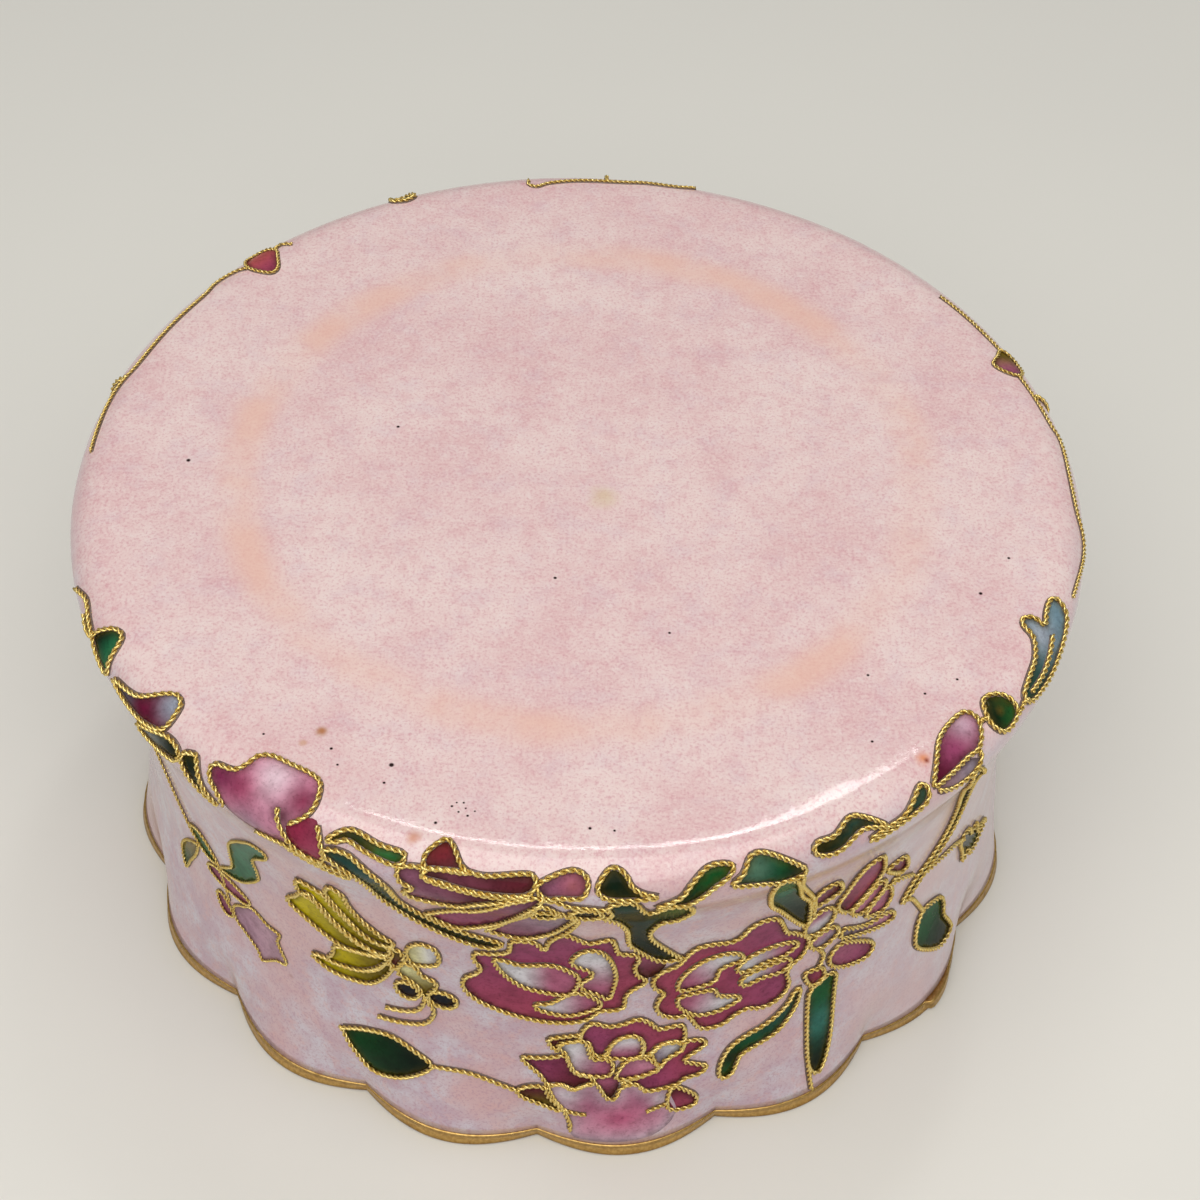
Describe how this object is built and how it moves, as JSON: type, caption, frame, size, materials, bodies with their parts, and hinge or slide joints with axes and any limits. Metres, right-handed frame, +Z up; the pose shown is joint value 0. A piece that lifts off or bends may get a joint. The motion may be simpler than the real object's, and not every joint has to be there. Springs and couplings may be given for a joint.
{
  "type": "cloisonne enamel box body",
  "caption": "Round hollow enamelled box body standing mouth down on a scalloped gilt rim, pink enamel wall with wire-outlined flowers, leaves and a butterfly.",
  "frame": {"origin": "centre of the mouth on the surface the box stands on", "axes": "+Z up through the plain pink disc, -Y towards the pictured front, +X to the viewer's right"},
  "size_m": [0.1, 0.1011, 0.0492],
  "materials": {
    "pink_enamel": "glossy opaque pale pink enamel, finely speckled",
    "gilt_brass": "gilt, slightly worn"
  },
  "bodies": {
    "root": {"box_body": "pink_enamel", "rim_band": "gilt_brass", "wire_back_bouquet_left": "gilt_brass", "wire_back_bouquet_middle": "gilt_brass", "wire_back_bouquet_right": "gilt_brass", "wire_butterfly_front": "gilt_brass", "wire_curled_leaf": "gilt_brass", "wire_edge_cells_left": "gilt_brass", "wire_edge_leaf_back": "gilt_brass", "wire_edge_leaf_left": "gilt_brass", "wire_edge_leaf_right": "gilt_brass", "wire_edge_spot_left": "gilt_brass", "wire_edge_wave_right": "gilt_brass", "wire_front_bouquet": "gilt_brass", "wire_left_bud": "gilt_brass", "wire_long_leaf": "gilt_brass", "wire_right_spray": "gilt_brass", "wire_small_bud": "gilt_brass"}
  },
  "joints": []
}
